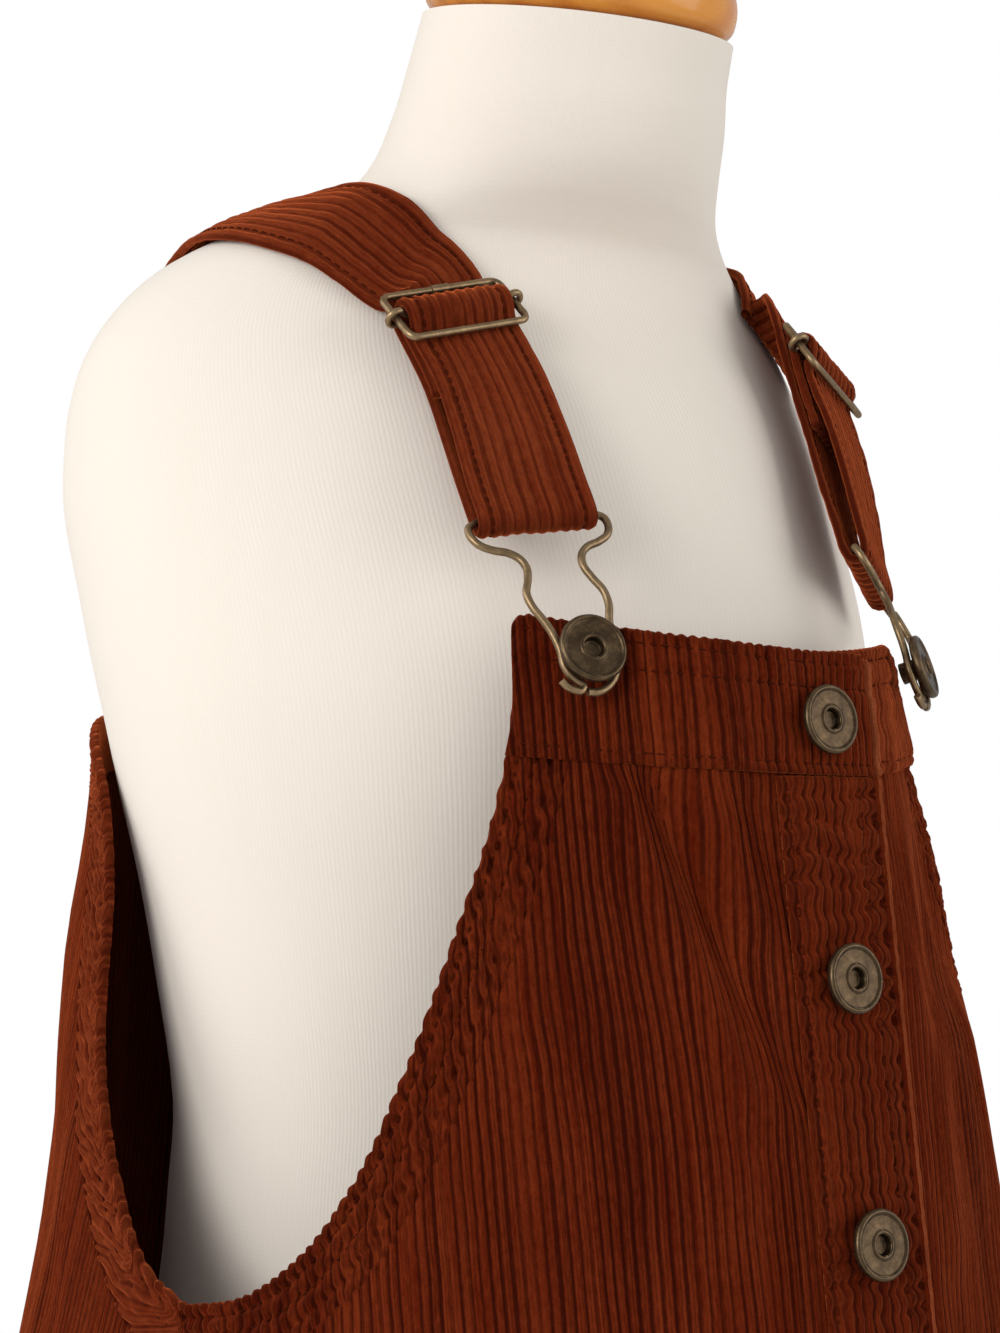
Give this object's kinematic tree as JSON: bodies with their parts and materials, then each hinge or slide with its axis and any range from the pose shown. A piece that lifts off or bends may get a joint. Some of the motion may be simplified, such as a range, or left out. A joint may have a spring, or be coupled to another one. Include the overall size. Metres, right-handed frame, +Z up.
{
  "type": "overall dress on a dress form",
  "caption": "Corduroy overall dress with bib, buttoned front, hooked straps and flared skirt, worn on a limbless dress form on a pole and round base.",
  "frame": {"origin": "centre of the base's underside, on the floor", "axes": "+Z up along the pole, the wearer faces -Y and the wearer's right is at -X"},
  "size_m": [0.3683, 0.3605, 1.0772],
  "materials": {
    "corduroy": "broad-wale cotton corduroy, rust brown, soft nap",
    "antique_brass": "antique brass, brown patina with worn bright edges",
    "jersey": "cream fine rib jersey stretched over the form",
    "wood": "glossy amber varnish",
    "steel": "satin pale paint"
  },
  "bodies": {
    "root": {"armhole_hem_back_left": "corduroy", "armhole_hem_back_right": "corduroy", "armhole_hem_front_left": "corduroy", "armhole_hem_front_right": "corduroy", "back": "corduroy", "back_band": "corduroy", "base": "wood", "bib_band_left": "corduroy", "bib_band_right": "corduroy", "bib_button_left": "antique_brass", "bib_button_right": "antique_brass", "bib_hook_left": "antique_brass", "bib_hook_right": "antique_brass", "closing_board": "wood", "foot_hem_back": "corduroy", "foot_hem_front_left": "corduroy", "foot_hem_front_right": "corduroy", "front_left": "corduroy", "front_right": "corduroy", "neck_cap": "wood", "placket_button_1": "antique_brass", "placket_button_2": "antique_brass", "placket_button_3": "antique_brass", "placket_button_4": "antique_brass", "placket_button_5": "antique_brass", "placket_button_6": "antique_brass", "placket_button_7": "antique_brass", "placket_left": "corduroy", "placket_right": "corduroy", "pole": "steel", "slider_bar_left": "antique_brass", "slider_bar_right": "antique_brass", "slider_left": "antique_brass", "slider_right": "antique_brass", "strap_left": "corduroy", "strap_right": "corduroy", "torso": "jersey"}
  },
  "joints": []
}
